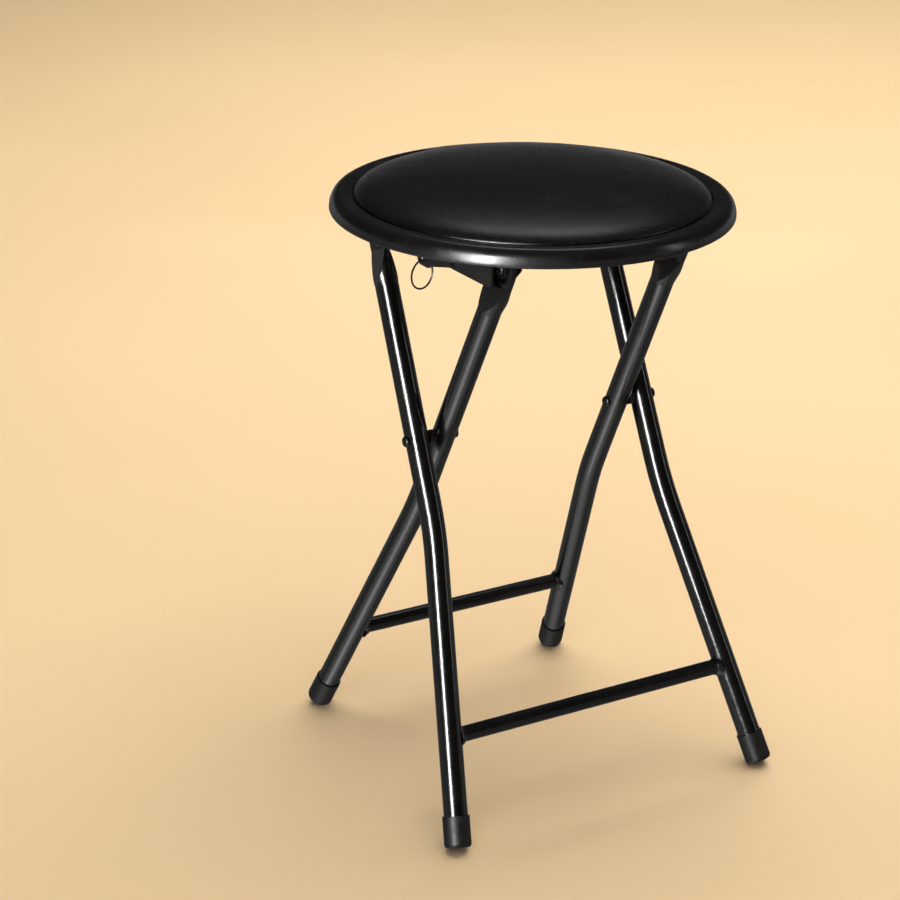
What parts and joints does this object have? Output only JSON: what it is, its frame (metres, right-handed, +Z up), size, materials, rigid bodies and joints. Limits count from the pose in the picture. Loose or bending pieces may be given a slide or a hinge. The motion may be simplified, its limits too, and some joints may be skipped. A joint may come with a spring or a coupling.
{
  "type": "folding stool",
  "caption": "Round folding stool with a padded vinyl seat on two crossed frames of bent black steel tube, hinged to one frame and latched to the other.",
  "frame": {"origin": "on the floor under the centre of the seat", "axes": "+Z up, +X to the right along the hinge pins, +Y to the back, where the latched side of the seat is"},
  "size_m": [0.302, 0.302, 0.4651],
  "materials": {
    "tube": "gloss black powder coat",
    "weld": "gloss black over a weld bead",
    "rim": "satin black enamel",
    "vinyl": "fine-grained black vinyl",
    "board": "black-stained plywood",
    "bracket": "satin black",
    "fastener": "black zinc",
    "cap": "satin moulded plastic",
    "ring": "blackened spring wire"
  },
  "bodies": {
    "inner_frame": {"inner_leg_left": "tube", "inner_leg_right": "tube", "inner_stretcher": "tube", "inner_stretcher_welds": "weld", "foot_caps_back": "cap"},
    "outer_frame": {"outer_leg_left": "tube", "outer_leg_right": "tube", "outer_stretcher": "tube", "outer_stretcher_welds": "weld", "foot_caps_front": "cap", "scissor_rivets": "fastener", "scissor_spacers": "fastener", "seat_studs": "fastener"},
    "seat": {"seat_board": "board", "seat_rim": "rim", "seat_pad": "vinyl", "bracket_left": "bracket", "bracket_right": "bracket", "bracket_screws": "fastener", "hinge_rivets": "fastener", "hinge_washers": "fastener", "hinge_bushes": "fastener", "lever_rivet": "fastener", "latch_spring": "ring"},
    "latch": {"latch_lever": "bracket"},
    "ring": {"pull_ring": "ring"}
  },
  "joints": [
    {"name": "seat_hinge", "type": "hinge", "parent": "inner_frame", "child": "seat", "pos_m": [0, -0.08182, 0.42512], "axis": [1, 0, 0], "range_deg": [0, 116.4]},
    {"name": "scissor", "type": "hinge", "parent": "inner_frame", "child": "outer_frame", "pos_m": [0, -0.0073, 0.275], "axis": [1, 0, 0], "range_deg": [0, 47.4]},
    {"name": "latch_pull", "type": "hinge", "parent": "seat", "child": "latch", "pos_m": [-0.08507, 0.05806, 0.42802], "axis": [1, 0, 0], "range_deg": [0, 15], "stiffness_Nm_per_rad": 0.15, "springref_deg": -20.05, "deforming": ["latch_spring"]},
    {"name": "ring_swing", "type": "hinge", "parent": "latch", "child": "ring", "pos_m": [-0.08507, 0.01566, 0.40602], "axis": [0.9636, 0.2672, 0], "range_deg": [-60, 25]}
  ],
  "couplings": [
    {"joint": "scissor", "follows": "seat_hinge", "ratio": 0.40636}
  ]
}
